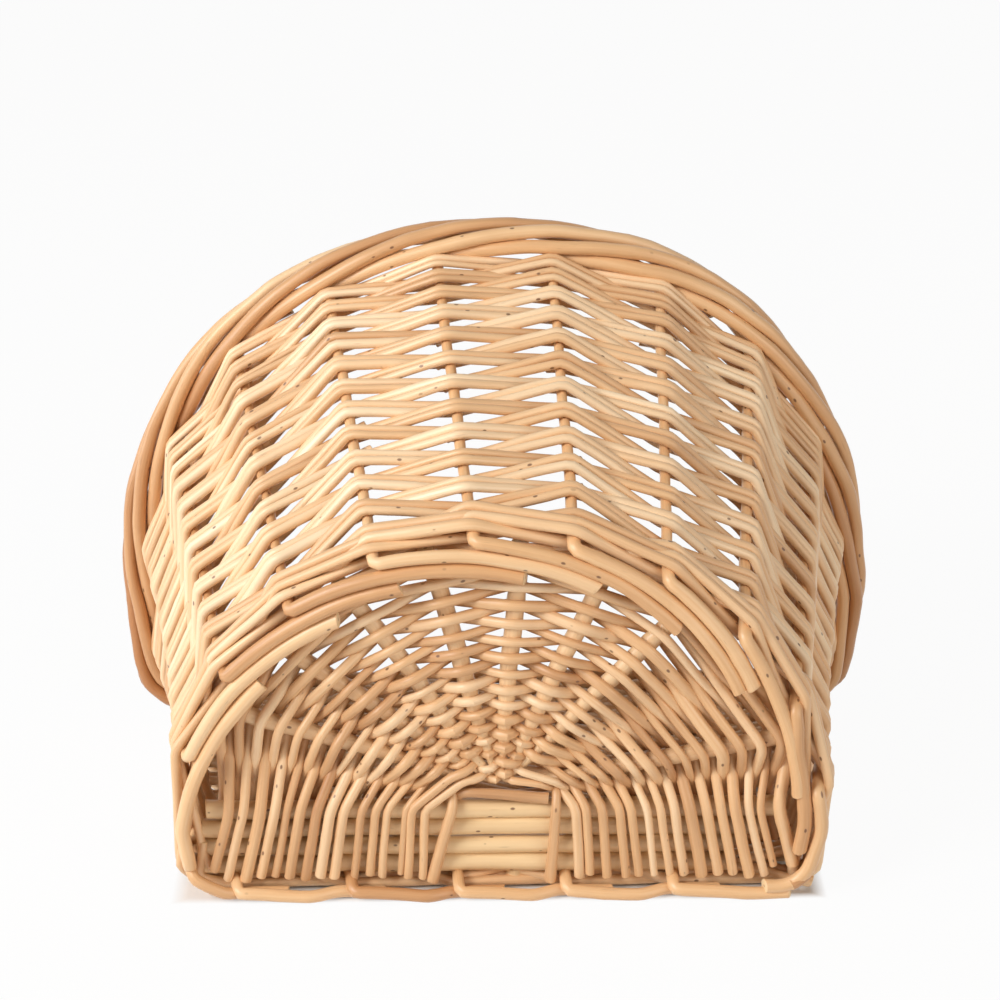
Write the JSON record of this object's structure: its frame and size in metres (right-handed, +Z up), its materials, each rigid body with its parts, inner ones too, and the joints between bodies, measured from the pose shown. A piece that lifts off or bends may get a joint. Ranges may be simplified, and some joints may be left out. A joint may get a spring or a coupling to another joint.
{
  "type": "bicycle basket",
  "caption": "Open D-shaped bicycle basket of woven peeled willow: flat back, domed front, ribbed stick base, plaited foot border and thick rolled rim border.",
  "frame": {"origin": "middle of the flat back, on the surface that the basket lies on, halfway between the foot border and the rim border", "axes": "+X across the basket, +Y from the base towards the open mouth, +Z up from the flat back to the crown of the domed front"},
  "size_m": [0.3926, 0.2097, 0.2754],
  "materials": {
    "willow_stake": "peeled buff willow rod, semi-gloss, golden beige with fine lengthwise grain",
    "willow_weaver": "peeled buff willow rod, pale golden beige, satin",
    "willow_stick": "stout peeled willow stick, pale tan, satin",
    "willow_rib": "peeled willow stick, pale tan, satin",
    "willow_base": "thin peeled willow rod, golden tan, satin"
  },
  "bodies": {
    "root": {"stake_01": "willow_stake", "stake_02": "willow_stake", "stake_03": "willow_stake", "stake_04": "willow_stake", "stake_05": "willow_stake", "stake_06": "willow_stake", "stake_07": "willow_stake", "stake_08": "willow_stake", "stake_09": "willow_stake", "stake_10": "willow_stake", "stake_11": "willow_stake", "stake_12": "willow_stake", "stake_13": "willow_stake", "stake_14": "willow_stake", "stake_15": "willow_stake", "stake_16": "willow_stake", "stake_17": "willow_stake", "stake_18": "willow_stake", "upsett_hoop_1": "willow_weaver", "upsett_hoop_2": "willow_weaver", "side_weaver_01": "willow_weaver", "side_weaver_02": "willow_weaver", "side_weaver_03": "willow_weaver", "side_weaver_04": "willow_weaver", "side_weaver_05": "willow_weaver", "side_weaver_06": "willow_weaver", "side_weaver_07": "willow_weaver", "side_weaver_08": "willow_weaver", "side_weaver_09": "willow_weaver", "side_weaver_10": "willow_weaver", "base_stick_1": "willow_stick", "base_stick_2": "willow_stick", "base_stick_3": "willow_stick", "base_stick_4": "willow_stick", "base_rib_1": "willow_rib", "base_rib_2": "willow_rib", "base_rib_3": "willow_rib", "base_rib_4": "willow_rib", "base_rib_5": "willow_rib", "base_rib_6": "willow_rib", "base_rib_7": "willow_rib", "base_rib_8": "willow_rib", "base_weaver_01": "willow_base", "base_weaver_02": "willow_base", "base_weaver_03": "willow_base", "base_weaver_04": "willow_base", "base_weaver_05": "willow_base", "base_weaver_06": "willow_base", "base_weaver_07": "willow_base", "base_weaver_08": "willow_base", "base_weaver_09": "willow_base", "base_weaver_10": "willow_base", "base_weaver_11": "willow_base", "base_weaver_12": "willow_base", "base_weaver_13": "willow_base", "base_weaver_14": "willow_base", "base_weaver_15": "willow_base", "centre_bar": "willow_base", "lashing_left": "willow_base", "lashing_right": "willow_base"}
  },
  "joints": []
}
